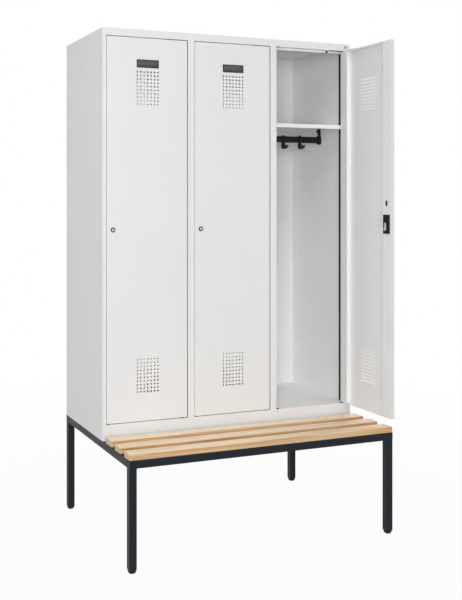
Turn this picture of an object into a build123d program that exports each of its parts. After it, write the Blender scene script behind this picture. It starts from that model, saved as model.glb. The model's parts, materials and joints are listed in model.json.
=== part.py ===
import os

from build123d import *

os.makedirs("parts", exist_ok=True)

# A steel clothes locker with three doors, standing on a tube frame whose front carries a slatted bench.
# X runs along the doors, Y from the front to the back, Z up from the floor, all in millimetres.
# The doors are hinged on the right. The third stands open at a right angle.

# The whole body
width = 1200.0
depth = 500.0
body_height = 1700.0
sheet = 1.0
bend = 1.6
overrun = 5.0
seat_gap = 0.3

# The front: posts, header and sill round three doors
compartments = 3
mullion_width = 31.0
header_height = 31.0
sill_height = 65.0
stop_depth = 25.0
stop_height = 10.0
stop_flange = 9.0
rear_flange = 18.0
lock_notch = 19.0
hinge_notch = 88.0
flange_slit = 2.5
flange_slit_inset = 103.0

# The doors
door_gap = 3.0
door_thickness = 20.0
hinge_inset = 9.0
hinge_lip = 48.0
edge_lip = 7.0
stiffener_width = 55.0
stiffener_foot = 12.0
open_door = 3
open_angle = 90.0

# The hinge side: a dark channel in the post, pins and their blocks
pocket_width = 4.0
pocket_depth = 24.0
channel_depth = 67.0
pin_radius = 4.0
pin_clearance = 0.05
pin_reach = 8.0
collar_radius = 7.0
block_length = 30.0
block_height = 12.0

# The bench frame
frame_height = 430.0
bench_reach = 308.0
tube = 30.0
tube_wall = 2.0
tube_round = 1.5
foot_height = 15.0
foot_round = 8.0
foot_plug = 20.0
foot_flange_width = 25.0
foot_flange_inset = 40.0

# The bench slats
slats = 3
slat_width = 62.0
slat_thickness = 25.0
slat_pitch = 103.0
slat_round = 4.0

# Fasteners of the frame
bolt_radius = 4.0
bolt_head_radius = 6.5
bolt_head_height = 5.0
bolt_inset = 70.0
nut_height = 7.0
screw_radius = 2.5
screw_head_radius = 5.0
screw_head_height = 3.0
screw_bite = 18.0
screw_shift = 10.0

# Air holes in the doors, a grid high up and a grid low down
hole_columns = 7
hole_rows = 10
hole_pitch_x = 15.5
hole_pitch_z = 15.0
hole_radius_large = 3.7
hole_radius_small = 2.7
top_grid_drop = 209.0
bottom_grid_rise = 190.0

# Air slots in the floor and the top of each compartment
vent_slots = 12
vent_length = 13.0
vent_width = 8.0
vent_pitch = 19.0
floor_vent_inset = 58.0
top_vent_inset = 29.0

# Label holder, lock and cam
label_width = 99.0
label_height = 33.5
label_thickness = 2.0
label_rim = 3.5
label_recess = 1.0
label_drop = 107.0
lock_inset = 27.0
ring_radius = 10.5
ring_thickness = 2.0
barrel_radius = 9.3
barrel_clearance = 0.2
plug_radius = 6.0
plug_proud = 0.4
keyhole_width = 2.4
keyhole_height = 8.0
keyhole_depth = 4.0
case_width = 42.0
case_inset = 4.0
case_thickness = 4.0
case_below = 20.0
case_above = 61.0
case_round = 1.2
cam_length = 28.0
cam_width = 13.0
cam_thickness = 2.4
cam_lift = 2.6
cam_nut_radius = 8.0
cam_nut_height = 2.6
grip_slot_rise = 109.0
grip_slot_length = 25.0
grip_slot_width = 13.0

# Hat shelf
shelf_drop = 336.0
shelf_lip = 17.5
shelf_return = 10.0
shelf_flange = 15.0
shelf_setback = 28.0

# Clothes rail, its brackets and the coat hooks
rail_height = 30.0
rail_thickness = 15.0
rail_wall = 1.5
rail_drop = 55.0
rail_depth = 246.0
bracket_back = 4.0
bracket_width = 12.0
bracket_rim = 6.5
bracket_arm_width = 8.0
bracket_arm_depth = 14.0
bracket_spur = 13.0
spur_depth = 8.0
spur_drop = 1.0
spur_height = 22.0
hook_count = 3
hook_pitch = 90.0
hook_offset = -4.0
hook_strap = 4.5
hook_strap_width = 8.0
hook_width = 20.0
hook_wire = 7.0
hook_clearance = 0.4
hook_stem = 15.0
hook_bowl_radius = 10.0
hook_bowl_turn = 120.0
hook_tip_length = 22.0
hook_chamfer = 0.6

# Rubber buffers, wall fixing holes and the small hole in the header
buffer_radius = 4.5
buffer_hinge_inset = 95.0
buffer_lift = 5.0
buffer_end_inset = 300.0
wall_hole_radius = 4.5
wall_hole_spacing = 800.0
wall_hole_drop = 90.0
header_hole_length = 15.0
header_hole_height = 8.0
header_hole_inset = 9.0

# Places that follow from these sizes
half_width = width / 2
end_post = (mullion_width + sheet) / 2
opening_width = (width - 2 * end_post - (compartments - 1) * mullion_width) / compartments
pitch = opening_width + mullion_width
centres = [(number - (compartments - 1) / 2) * pitch for number in range(compartments)]
wall_face = opening_width / 2 + end_post - sheet

body_bottom = frame_height
body_top = body_bottom + body_height
opening_bottom = body_bottom + sill_height
opening_top = body_top - header_height

hinge_setback = door_thickness / 2
door_width = opening_width - 2 * door_gap
door_height = opening_top - opening_bottom - 2 * door_gap
door_bottom = opening_bottom + door_gap
door_reach = door_width - hinge_inset - hinge_setback

# The origin is on the floor, in the middle of the box round the locker as it stands with one door open
front = (max(door_reach, bench_reach) - depth) / 2
back = front + depth
bench_front = front - bench_reach
behind_stop = front + stop_depth + sheet
back_flange_face = back - sheet
inside_back = back_flange_face - bend

hinge_x = opening_width / 2 - door_gap - hinge_inset
hinge_y = front + hinge_setback


def slab(x, y, z, mode=Mode.ADD):
    """A block between two values of x, two of y and two of z."""
    middle = [(low + high) / 2 for low, high in (x, y, z)]
    sides = [high - low for low, high in (x, y, z)]
    with Locations(tuple(middle)):
        block = Box(*sides, mode=mode)
    return block


def plan(height):
    """A level sketch plane at a height above the floor."""
    return Plane.XY.offset(height)


def section(x):
    """An upright sketch plane across the body, drawn as depth and height and pulled towards +X."""
    return Plane.YZ.offset(x)


def elevation(y):
    """An upright sketch plane along the doors, drawn as X and height and pulled towards the front."""
    return Plane.XZ.offset(-y)


def folded(points, side, radius=None):
    """The section of a sheet folded along points, with its thickness on one side of them."""
    with BuildSketch() as profile:
        with BuildLine():
            if radius is None:
                Polyline(*points)
            else:
                FilletPolyline(*points, radius=radius)
            offset(amount=sheet, side=side, kind=Kind.INTERSECTION)
        make_face()
    return profile.sketch


def write(part, label):
    """Give a finished piece its name and write it as one file."""
    part.label = label
    export_step(part, f"parts/{label}.step")


# The bench frame: four rails mitred at the corners
def frame_corners(inset):
    """The corners of the frame's outline in plan, moved inwards by an inset."""
    left, right = -half_width + inset, half_width - inset
    near, far = bench_front + inset, back - inset
    return [(left, near), (right, near), (right, far), (left, far)]


frame_bolts_at = [
    (side * (half_width - tube / 2), y)
    for side in (-1, 1)
    for y in (front + bolt_inset, back - bolt_inset)
]
slat_middles = [bench_front + slat_width / 2 + number * slat_pitch for number in range(slats)]
slat_screws_at = [
    (side * (half_width - tube / 2), y + screw_shift)
    for side in (-1, 1)
    for y in slat_middles
]
rail_bottom = frame_height - tube

for corner, label in enumerate(("front_rail", "side_rail_right", "rear_rail", "side_rail_left")):
    after = (corner + 1) % 4
    with BuildPart() as frame_rail:
        for start, end, mode in ((0, tube, Mode.ADD), (tube_wall, tube - tube_wall, Mode.SUBTRACT)):
            outside, inside = frame_corners(start), frame_corners(end)
            with BuildSketch(plan(rail_bottom + start)):
                Polygon(outside[corner], outside[after], inside[after], inside[corner], align=None)
            extrude(amount=end - start, mode=mode)
        if "side" in label:
            with BuildSketch(plan(rail_bottom)):
                with Locations(*frame_bolts_at):
                    Circle(bolt_radius + seat_gap)
                with Locations(*slat_screws_at):
                    Circle(screw_radius + seat_gap)
            extrude(amount=tube, mode=Mode.SUBTRACT)
    write(frame_rail.part, label)

# A cross rail under the front of the body
with BuildPart() as middle_rail:
    slab((-half_width + tube, half_width - tube), (front, front + tube), (rail_bottom, frame_height))
    slab(
        (-half_width, half_width),
        (front + tube_wall, front + tube - tube_wall),
        (rail_bottom + tube_wall, frame_height - tube_wall),
        mode=Mode.SUBTRACT,
    )
write(middle_rail.part, "middle_rail")

# The legs, square tube under each corner of the frame
leg_reach = half_width - tube / 2
leg_places = {
    "leg_front_left": (-leg_reach, bench_front + tube / 2),
    "leg_front_right": (leg_reach, bench_front + tube / 2),
    "leg_rear_left": (-leg_reach, back - tube / 2),
    "leg_rear_right": (leg_reach, back - tube / 2),
}
for label, place in leg_places.items():
    with BuildPart() as leg:
        with BuildSketch(plan(foot_height)):
            with Locations(place):
                RectangleRounded(tube, tube, tube_round)
                Rectangle(tube - 2 * tube_wall, tube - 2 * tube_wall, mode=Mode.SUBTRACT)
        extrude(amount=rail_bottom - foot_height)
    write(leg.part, label)

# Four plastic feet, each with a plug inside its leg
with BuildPart() as foot:
    with BuildSketch():
        RectangleRounded(tube, tube, tube_round)
    extrude(amount=foot_height)
    fillet(foot.faces().sort_by(Axis.Z)[0].edges(), foot_round)
    with BuildSketch(plan(foot_height)):
        Rectangle(tube - 2 * tube_wall - 2 * seat_gap, tube - 2 * tube_wall - 2 * seat_gap)
    extrude(amount=foot_plug)
with BuildPart() as feet:
    with Locations(*leg_places.values()):
        add(foot.part)
write(feet.part, "feet")

# The bench slats, solid beech with rounded edges, lying across the side rails
for number, slat_y in enumerate(slat_middles, start=1):
    with BuildPart() as bench_slat:
        slab(
            (-half_width, half_width),
            (slat_y - slat_width / 2, slat_y + slat_width / 2),
            (frame_height, frame_height + slat_thickness),
        )
        fillet(bench_slat.edges(), slat_round)
        with BuildSketch(plan(frame_height)):
            with Locations((-leg_reach, slat_y + screw_shift), (leg_reach, slat_y + screw_shift)):
                Circle(screw_radius + seat_gap)
        extrude(amount=screw_bite + seat_gap, mode=Mode.SUBTRACT)
    write(bench_slat.part, f"bench_slat_{number}")

# Screws from under the side rails into the slats
with BuildPart() as slat_screws:
    with BuildSketch(plan(rail_bottom - screw_head_height)):
        with Locations(*slat_screws_at):
            Circle(screw_head_radius)
    extrude(amount=screw_head_height)
    with BuildSketch(plan(rail_bottom)):
        with Locations(*slat_screws_at):
            Circle(screw_radius)
    extrude(amount=tube + screw_bite)
write(slat_screws.part, "slat_screws")

# Bolts and nuts that hold the body's side flanges down on the frame
with BuildPart() as frame_bolts:
    with BuildSketch(plan(rail_bottom - bolt_head_height)):
        with Locations(*frame_bolts_at):
            RegularPolygon(bolt_head_radius, 6)
    extrude(amount=bolt_head_height)
    with BuildSketch(plan(rail_bottom)):
        with Locations(*frame_bolts_at):
            Circle(bolt_radius)
    extrude(amount=tube + sheet + nut_height)
    with BuildSketch(plan(frame_height + sheet)):
        with Locations(*frame_bolts_at):
            RegularPolygon(bolt_head_radius, 6)
    extrude(amount=nut_height)
write(frame_bolts.part, "frame_bolts")

# The two side panels: outer skin, front post face, rear flange and foot flange
for side, label in ((-1, "side_panel_left"), (1, "side_panel_right")):
    outer, post_edge = side * half_width, side * (half_width - end_post)
    thick_side = Side.RIGHT if side < 0 else Side.LEFT
    with BuildPart() as side_panel:
        skin_fold = [
            (post_edge, front),
            (outer, front),
            (outer, back_flange_face),
            (outer - side * rear_flange, back_flange_face),
        ]
        with BuildSketch(plan(body_bottom)):
            add(folded(skin_fold, thick_side, bend))
        extrude(amount=body_height)
        inner_face = outer - side * sheet
        slab(
            sorted((inner_face, inner_face - side * foot_flange_width)),
            (front + foot_flange_inset, back - foot_flange_inset),
            (body_bottom, body_bottom + sheet),
        )
        with BuildSketch(plan(body_bottom)):
            with Locations(*frame_bolts_at):
                Circle(bolt_radius + seat_gap)
        extrude(amount=sheet, mode=Mode.SUBTRACT)
        if side < 0:
            stop_fold = [
                (post_edge + stop_flange, front + stop_depth),
                (post_edge, front + stop_depth),
                (post_edge, front + sheet),
            ]
            with BuildSketch(plan(opening_bottom)):
                add(folded(stop_fold, Side.RIGHT))
            extrude(amount=opening_top - opening_bottom)
    write(side_panel.part, label)

# The two partitions, each a wall sheet behind a mullion with the stop flange of the door to its right
for number in range(1, compartments):
    middle = centres[number] - pitch / 2
    right_edge = middle + mullion_width / 2
    with BuildPart() as partition:
        mullion_fold = [
            (middle - mullion_width / 2, front),
            (right_edge, front),
            (right_edge, front + stop_depth),
            (right_edge + stop_flange, front + stop_depth),
        ]
        with BuildSketch(plan(opening_bottom)):
            add(folded(mullion_fold, Side.LEFT))
        extrude(amount=opening_top - opening_bottom)
        wall = (middle - sheet / 2, middle + sheet / 2)
        slab(wall, (front + sheet, behind_stop), (opening_bottom, opening_top))
        slab(wall, (behind_stop, back_flange_face), (opening_bottom, body_top - sheet))
        slab(
            (middle - rear_flange, wall[1]),
            (back_flange_face - sheet, back_flange_face),
            (opening_bottom, body_top - sheet),
        )
    write(partition.part, f"partition_{number}")

# Dark channels that fill the hinge side of each opening and leave a pocket for the turning door edge
with BuildPart() as hinge_channel:
    edge = opening_width / 2
    channel_fold = [
        (edge + pocket_width, front + sheet),
        (edge + pocket_width, front + pocket_depth),
        (edge, front + pocket_depth),
        (edge, front + channel_depth),
        (wall_face, front + channel_depth),
    ]
    with BuildSketch(plan(opening_bottom)):
        add(folded(channel_fold, Side.RIGHT))
    extrude(amount=opening_top - opening_bottom)
with BuildPart() as hinge_channels:
    with Locations(*[(centre, 0) for centre in centres]):
        add(hinge_channel.part)
write(hinge_channels.part, "hinge_channels")


def corner_notches(low, high, hinge_cut):
    """Cut the notches at both ends of each opening out of a level return of the front frame."""
    for centre in centres:
        left, right = centre - opening_width / 2, centre + opening_width / 2
        for x in ((left, left + lock_notch), (right - hinge_cut, right)):
            slab(x, (front + sheet, front + stop_depth), (low, high), mode=Mode.SUBTRACT)


# The header, a folded box over the doors with a slit stop flange hanging from it over each opening
post_edge = half_width - end_post
with BuildPart() as front_header:
    header_fold = [
        (front, body_top),
        (front, opening_top),
        (behind_stop, opening_top),
        (behind_stop, body_top - sheet),
    ]
    with BuildSketch(section(-post_edge)):
        add(folded(header_fold, Side.LEFT))
    extrude(amount=2 * post_edge)
    corner_notches(opening_top, opening_top + sheet, hinge_notch)
    for centre in centres:
        left, right = centre - opening_width / 2, centre + opening_width / 2
        stop_level = (opening_top - stop_height, opening_top)
        slab((left + stop_flange, right), (front + stop_depth, behind_stop), stop_level)
        slit = (left + flange_slit_inset, left + flange_slit_inset + flange_slit)
        slab(slit, (front + stop_depth, behind_stop), stop_level, mode=Mode.SUBTRACT)
    with BuildSketch(elevation(front + sheet)):
        with Locations((post_edge - header_hole_inset, (opening_top + body_top) / 2)):
            SlotOverall(header_hole_length, header_hole_height)
    extrude(amount=sheet, mode=Mode.SUBTRACT)
write(front_header.part, "front_header")

# The sill, a closed box under the doors
with BuildPart() as front_sill:
    slab((-post_edge, post_edge), (front, behind_stop), (body_bottom, opening_bottom))
    slab(
        (-half_width, half_width),
        (front + sheet, behind_stop - sheet),
        (body_bottom + sheet, opening_bottom - sheet),
        mode=Mode.SUBTRACT,
    )
    corner_notches(opening_bottom - sheet, opening_bottom, block_length)
write(front_sill.part, "front_sill")


# The floor and the top, flat sheets with a row of air slots near the back of every compartment
with BuildSketch() as vent_rows:
    with Locations(*[(centre, back) for centre in centres]):
        with GridLocations(vent_pitch, vent_pitch, vent_slots, 1):
            SlotOverall(vent_length, vent_width)

inside_wall = half_width - sheet
flange_edge = half_width - rear_flange
with BuildPart() as floor_panel:
    floor_level = (opening_bottom - sheet, opening_bottom)
    slab((-inside_wall, inside_wall), (behind_stop, inside_back), floor_level)
    slab((-flange_edge, flange_edge), (inside_back, back_flange_face), floor_level)
    for side in (-1, 1):
        slab(
            sorted((side * inside_wall, side * (inside_wall - sheet))),
            (behind_stop, inside_back),
            (opening_bottom - shelf_flange, opening_bottom - sheet),
        )
    with BuildSketch(plan(opening_bottom - sheet)):
        with Locations((0, -floor_vent_inset)):
            add(vent_rows.sketch)
    extrude(amount=sheet, mode=Mode.SUBTRACT)
write(floor_panel.part, "floor_panel")

with BuildPart() as top_panel:
    top_level = (body_top - sheet, body_top)
    slab((-inside_wall, inside_wall), (front + sheet, back_flange_face - sheet), top_level)
    chamfer(top_panel.edges().filter_by(Axis.Z), bend)
    slab((-flange_edge, flange_edge), (back_flange_face - sheet, back_flange_face), top_level)
    with BuildSketch(plan(body_top - sheet)):
        with Locations((0, -top_vent_inset)):
            add(vent_rows.sketch)
    extrude(amount=sheet, mode=Mode.SUBTRACT)
write(top_panel.part, "top_panel")

# The back, with two holes for fixing the locker to a wall
with BuildPart() as back_panel:
    slab((-half_width, half_width), (back - sheet, back), (body_bottom, body_top))
    with BuildSketch(elevation(back)):
        with Locations((-wall_hole_spacing / 2, body_top - wall_hole_drop)):
            Circle(wall_hole_radius)
        with Locations((wall_hole_spacing / 2, body_top - wall_hole_drop)):
            Circle(wall_hole_radius)
    extrude(amount=sheet, mode=Mode.SUBTRACT)
write(back_panel.part, "back_panel")

# Hinge pins in their blocks, at the top and the bottom of each door
pivots = [(centre + hinge_x, hinge_y) for centre in centres]
with BuildPart() as pivot_blocks:
    for centre in centres:
        right = centre + opening_width / 2
        for low in (opening_bottom - block_height, opening_top):
            level = (low, low + block_height)
            slab((right - block_length, right), (front + sheet, front + stop_depth), level)
    with BuildSketch(plan(opening_bottom - block_height)):
        with Locations(*pivots):
            Circle(pin_radius + pin_clearance)
    extrude(amount=opening_top - opening_bottom + 2 * block_height, mode=Mode.SUBTRACT)
write(pivot_blocks.part, "pivot_blocks")

with BuildPart() as hinge_pins:
    pin_length = block_height + door_gap + pin_reach
    for low in (opening_bottom - block_height, opening_top - door_gap - pin_reach):
        with BuildSketch(plan(low)):
            with Locations(*pivots):
                Circle(pin_radius)
        extrude(amount=pin_length)
    with BuildSketch(plan(opening_bottom)):
        with Locations(*pivots):
            Circle(collar_radius)
    extrude(amount=door_gap - seat_gap)
write(hinge_pins.part, "hinge_pins")

# Rubber buffers on the stop flanges
with BuildPart() as door_buffers:
    with BuildSketch(elevation(front + stop_depth)):
        for centre in centres:
            stop_x = centre - opening_width / 2 + stop_flange / 2
            hang_x = centre + opening_width / 2 - buffer_hinge_inset
            with Locations(
                (hang_x, opening_top - buffer_lift),
                (stop_x, opening_bottom + buffer_end_inset),
                (stop_x, opening_top - buffer_end_inset),
            ):
                Circle(buffer_radius)
    extrude(amount=stop_depth - door_thickness - seat_gap)
write(door_buffers.part, "door_buffers")

# The hat shelf, a tray with its front corner cut out round the hinge channel
shelf_top = opening_top - shelf_drop
shelf_side = wall_face
shelf_back = inside_back - seat_gap
with BuildPart() as hat_shelf:
    shelf_fold = [
        (front + shelf_setback + shelf_return, shelf_top - shelf_lip),
        (front + shelf_setback, shelf_top - shelf_lip),
        (front + shelf_setback, shelf_top),
        (shelf_back, shelf_top),
        (shelf_back, shelf_top - shelf_flange),
    ]
    with BuildSketch(section(-shelf_side)):
        add(folded(shelf_fold, Side.RIGHT))
    extrude(amount=2 * shelf_side)
    for side in (-1, 1):
        slab(
            sorted((side * shelf_side, side * (shelf_side - sheet))),
            (front + channel_depth + seat_gap, shelf_back - sheet),
            (shelf_top - shelf_flange, shelf_top - sheet),
        )
    slab(
        (opening_width / 2 - seat_gap, shelf_side + overrun),
        (front, front + channel_depth + seat_gap),
        (shelf_top - shelf_lip - overrun, shelf_top + overrun),
        mode=Mode.SUBTRACT,
    )
for number, centre in enumerate(centres, start=1):
    write(hat_shelf.part.moved(Location((centre, 0, 0))), f"hat_shelf_{number}")

# The clothes rail, an oval tube held by a bracket at each wall
rail_y = front + rail_depth
rail_z = shelf_top - rail_drop
bracket_wall = wall_face - sheet - seat_gap
rail_end = bracket_wall - bracket_back
with BuildPart() as clothes_rail:
    with BuildSketch(section(-rail_end)):
        with Locations((rail_y, rail_z)):
            SlotOverall(rail_height, rail_thickness, rotation=90)
            bore_height, bore_width = rail_height - 2 * rail_wall, rail_thickness - 2 * rail_wall
            SlotOverall(bore_height, bore_width, rotation=90, mode=Mode.SUBTRACT)
    extrude(amount=2 * rail_end)
for number, centre in enumerate(centres, start=1):
    write(clothes_rail.part.moved(Location((centre, 0, 0))), f"clothes_rail_{number}")

with BuildPart() as rail_bracket:
    underside = shelf_top - sheet
    arm_face = bracket_wall - bracket_arm_width
    with BuildSketch(section(bracket_wall - bracket_width)):
        with Locations((rail_y, rail_z)):
            SlotOverall(rail_height + 2 * bracket_rim, rail_thickness + 2 * bracket_rim, rotation=90)
    extrude(amount=bracket_width)
    slab(
        (arm_face, bracket_wall),
        (rail_y - bracket_arm_depth / 2, rail_y + bracket_arm_depth / 2),
        (rail_z, underside),
    )
    with BuildSketch(elevation(rail_y + spur_depth / 2)):
        Polygon(
            (arm_face, underside - spur_drop),
            (arm_face - bracket_spur, underside - spur_drop - spur_height / 2),
            (arm_face, underside - spur_drop - spur_height),
            align=None,
        )
    extrude(amount=spur_depth)
    with BuildSketch(section(bracket_wall - bracket_width)):
        with Locations((rail_y, rail_z)):
            SlotOverall(rail_height + 2 * seat_gap, rail_thickness + 2 * seat_gap, rotation=90)
    extrude(amount=bracket_width - bracket_back, mode=Mode.SUBTRACT)
with BuildPart() as rail_brackets:
    with Locations(*[(centre, 0) for centre in centres]):
        add(rail_bracket.part)
        add(mirror(rail_bracket.part, about=Plane.YZ, mode=Mode.PRIVATE))
write(rail_brackets.part, "rail_brackets")

# The coat hooks: a strap round the rail, and under it a wider stem and bowl that opens to the front
loop_half = rail_height / 2 + hook_clearance + hook_strap / 2
stem_top = rail_z - loop_half
bowl_z = stem_top - hook_stem
with BuildPart() as coat_hook:
    with BuildSketch(section(-hook_width / 2)):
        with BuildLine():
            Line((rail_y, stem_top), (rail_y, bowl_z))
            bowl = CenterArc((rail_y - hook_bowl_radius, bowl_z), hook_bowl_radius, 0, -hook_bowl_turn)
            Line(bowl @ 1, bowl @ 1 + hook_tip_length * (bowl % 1))
            offset(amount=hook_wire / 2, kind=Kind.ARC)
        make_face()
        strap_bore = (rail_height + 2 * hook_clearance, rail_thickness + 2 * hook_clearance)
        with Locations((rail_y, rail_z)):
            SlotOverall(*strap_bore, rotation=90, mode=Mode.SUBTRACT)
    extrude(amount=hook_width)
    chamfer(coat_hook.faces().filter_by(Axis.X).edges(), hook_chamfer)
    with BuildSketch(section(-hook_strap_width / 2)):
        with Locations((rail_y, rail_z)):
            strap_outside = [size + 2 * hook_strap for size in strap_bore]
            SlotOverall(*strap_outside, rotation=90)
            SlotOverall(*strap_bore, rotation=90, mode=Mode.SUBTRACT)
    extrude(amount=hook_strap_width)
hook_places = [hook_offset + (number - (hook_count - 1) / 2) * hook_pitch for number in range(hook_count)]
for number, centre in enumerate(centres):
    for order, hook_x in enumerate(hook_places, start=1):
        label = f"coat_hook_{hook_count * number + order}"
        write(coat_hook.part.moved(Location((centre + hook_x, 0, 0))), label)

# The doors and all that they carry are drawn round their own hinge line, from the door's bottom edge up
lock_edge = hinge_inset - door_width
outer_face = -hinge_setback
inner_face = outer_face + door_thickness
door_middle = hinge_inset - door_width / 2
lock_x = lock_edge + lock_inset
lock_z = door_height / 2
door_places = []
for number, centre in enumerate(centres, start=1):
    turn = open_angle if number == open_door else 0
    door_places.append(Location((centre + hinge_x, hinge_y, door_bottom), (0, 0, turn)))

with BuildPart() as door_panel:
    slab((lock_edge, hinge_inset), (outer_face, inner_face), (0, door_height))
    fillet(door_panel.faces().sort_by(Axis.Y)[0].edges(), sheet)
    slab(
        (lock_edge + sheet, hinge_inset - sheet),
        (outer_face + sheet, inner_face + overrun),
        (sheet, door_height - sheet),
        mode=Mode.SUBTRACT,
    )
    lip = (inner_face - sheet, inner_face)
    inner_span = (lock_edge + stiffener_width, hinge_inset - hinge_lip)
    slab(inner_span, lip, (sheet, edge_lip))
    slab(inner_span, lip, (door_height - edge_lip, door_height - sheet))
    slab((hinge_inset - hinge_lip, hinge_inset - sheet), lip, (sheet, door_height - sheet))
    slab(
        (hinge_inset - hinge_lip, hinge_inset - hinge_lip + sheet),
        (outer_face + sheet, inner_face - sheet),
        (sheet, door_height - sheet),
    )
    with BuildSketch(elevation(outer_face + sheet)):
        for row in range(hole_rows):
            from_end = row / (hole_rows - 1)
            radius = hole_radius_small + (hole_radius_large - hole_radius_small) * from_end
            rise = (row - (hole_rows - 1) / 2) * hole_pitch_z
            with Locations(
                (door_middle, door_height - top_grid_drop + rise),
                (door_middle, bottom_grid_rise - rise),
            ):
                with GridLocations(hole_pitch_x, hole_pitch_z, hole_columns, 1):
                    Circle(radius)
        with Locations((lock_x, lock_z)):
            Circle(barrel_radius + barrel_clearance)
    extrude(amount=sheet, mode=Mode.SUBTRACT)
    with BuildSketch():
        Circle(pin_radius + pin_clearance)
    extrude(amount=door_height, mode=Mode.SUBTRACT)

with BuildPart() as door_stiffener:
    inside_edge = lock_edge + sheet
    far_edge = lock_edge + stiffener_width
    stiffener_fold = [
        (inside_edge, inner_face),
        (far_edge, inner_face),
        (far_edge, outer_face + 2 * sheet),
        (far_edge + stiffener_foot, outer_face + 2 * sheet),
    ]
    with BuildSketch(plan(sheet)):
        add(folded(stiffener_fold, Side.RIGHT))
    extrude(amount=door_height - 2 * sheet)
    with BuildSketch(elevation(inner_face)):
        with Locations((lock_x, lock_z)):
            Circle(barrel_radius + barrel_clearance)
        with Locations((lock_x, lock_z + grip_slot_rise)):
            SlotOverall(grip_slot_length, grip_slot_width, rotation=90)
    extrude(amount=sheet, mode=Mode.SUBTRACT)

with BuildPart() as label_holder:
    label_z = door_height - label_drop
    with BuildSketch(elevation(outer_face)):
        with Locations((door_middle, label_z)):
            RectangleRounded(label_width, label_height, label_thickness)
    extrude(amount=label_thickness)
    with BuildSketch(elevation(outer_face - label_thickness + label_recess)):
        with Locations((door_middle, label_z)):
            Rectangle(label_width - 2 * label_rim, label_height - 2 * label_rim)
    extrude(amount=label_recess, mode=Mode.SUBTRACT)

# The lock: a ring and barrel through the door, and a case on its inside
case_back = inner_face + case_thickness
with BuildPart() as lock_case:
    with BuildSketch(elevation(outer_face)):
        with Locations((lock_x, lock_z)):
            Circle(ring_radius)
    extrude(amount=ring_thickness)
    with BuildSketch(elevation(inner_face)):
        with Locations((lock_x, lock_z)):
            Circle(barrel_radius)
    extrude(amount=door_thickness)
    slab(
        (lock_edge + case_inset, lock_edge + case_inset + case_width),
        (inner_face, case_back),
        (lock_z - case_below, lock_z + case_above),
    )
    fillet(lock_case.faces().sort_by(Axis.Y)[-1].edges(), case_round)
    with BuildSketch(elevation(case_back)):
        with Locations((lock_x, lock_z)):
            Circle(plug_radius + pin_clearance)
    extrude(amount=case_thickness + door_thickness + ring_thickness, mode=Mode.SUBTRACT)

# What the key turns: the plug with its keyhole, and the cam on its inner end, which points up
cam_front = case_back + cam_lift
cam_back = cam_front + cam_thickness
with BuildPart() as lock_rotor:
    with BuildSketch(elevation(cam_back)):
        with Locations((lock_x, lock_z)):
            Circle(plug_radius)
    plug_front = outer_face - ring_thickness - plug_proud
    extrude(amount=cam_back - plug_front)
    with BuildSketch(elevation(cam_back)):
        cam_travel = cam_length - cam_width / 2
        with Locations((lock_x, lock_z + cam_travel / 2)):
            SlotCenterToCenter(cam_travel, cam_width, rotation=90)
    extrude(amount=cam_thickness)
    with BuildSketch(elevation(cam_back + cam_nut_height)):
        with Locations((lock_x, lock_z)):
            Circle(cam_nut_radius)
    extrude(amount=cam_nut_height)
    slab(
        (lock_x - keyhole_width / 2, lock_x + keyhole_width / 2),
        (plug_front, plug_front + keyhole_depth),
        (lock_z - keyhole_height / 2, lock_z + keyhole_height / 2),
        mode=Mode.SUBTRACT,
    )

door_pieces = {
    "door_panel": door_panel.part,
    "door_stiffener": door_stiffener.part,
    "label_holder": label_holder.part,
    "lock_case": lock_case.part,
    "lock_rotor": lock_rotor.part,
}
for label, piece in door_pieces.items():
    for number, place in enumerate(door_places, start=1):
        write(piece.moved(place), f"{label}_{number}")
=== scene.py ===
# %% [markdown]
# # A steel clothes locker with a bench
#
# Sheets, tubes and slats of this locker are already solids, made in CAD and packed. This lesson
# dresses them: it loads the solids as a fixed frame, gives every surface a material with the
# small marks of the real one, and models the few pieces that look better as meshes than as
# solids: moulded coat hooks and feet, turned lock cylinders, label cards and thin hinge straps.
# The floor and the light come at the end, followed by a print of the size.

# %% Load the frame
import json
from math import cos, degrees, pi, radians, sin

import bmesh
import bpy
from mathutils import Matrix, Vector


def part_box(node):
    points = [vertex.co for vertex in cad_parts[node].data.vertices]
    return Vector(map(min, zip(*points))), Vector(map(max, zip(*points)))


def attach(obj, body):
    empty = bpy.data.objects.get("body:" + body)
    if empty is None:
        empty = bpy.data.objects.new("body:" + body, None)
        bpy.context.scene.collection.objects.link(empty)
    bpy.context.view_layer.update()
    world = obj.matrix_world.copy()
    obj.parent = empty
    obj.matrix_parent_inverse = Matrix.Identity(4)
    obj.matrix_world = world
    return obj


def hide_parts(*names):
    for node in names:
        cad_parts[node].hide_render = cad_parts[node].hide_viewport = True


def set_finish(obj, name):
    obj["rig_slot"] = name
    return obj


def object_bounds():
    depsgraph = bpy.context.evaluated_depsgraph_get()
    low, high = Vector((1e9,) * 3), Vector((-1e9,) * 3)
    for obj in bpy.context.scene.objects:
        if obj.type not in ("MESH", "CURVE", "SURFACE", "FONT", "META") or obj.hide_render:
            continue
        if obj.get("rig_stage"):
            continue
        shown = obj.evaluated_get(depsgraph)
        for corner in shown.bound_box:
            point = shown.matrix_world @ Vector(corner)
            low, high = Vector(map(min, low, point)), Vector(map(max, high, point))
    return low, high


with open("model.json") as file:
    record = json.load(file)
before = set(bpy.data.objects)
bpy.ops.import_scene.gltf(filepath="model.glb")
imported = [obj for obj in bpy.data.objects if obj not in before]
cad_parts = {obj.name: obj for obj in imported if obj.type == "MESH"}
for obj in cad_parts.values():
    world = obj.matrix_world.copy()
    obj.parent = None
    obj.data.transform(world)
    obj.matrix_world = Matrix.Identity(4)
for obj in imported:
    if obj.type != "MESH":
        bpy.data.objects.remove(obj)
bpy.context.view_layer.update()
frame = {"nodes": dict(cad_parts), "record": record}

nodes = frame["nodes"]
doors = (1, 2, 3)
mm = 0.001

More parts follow.
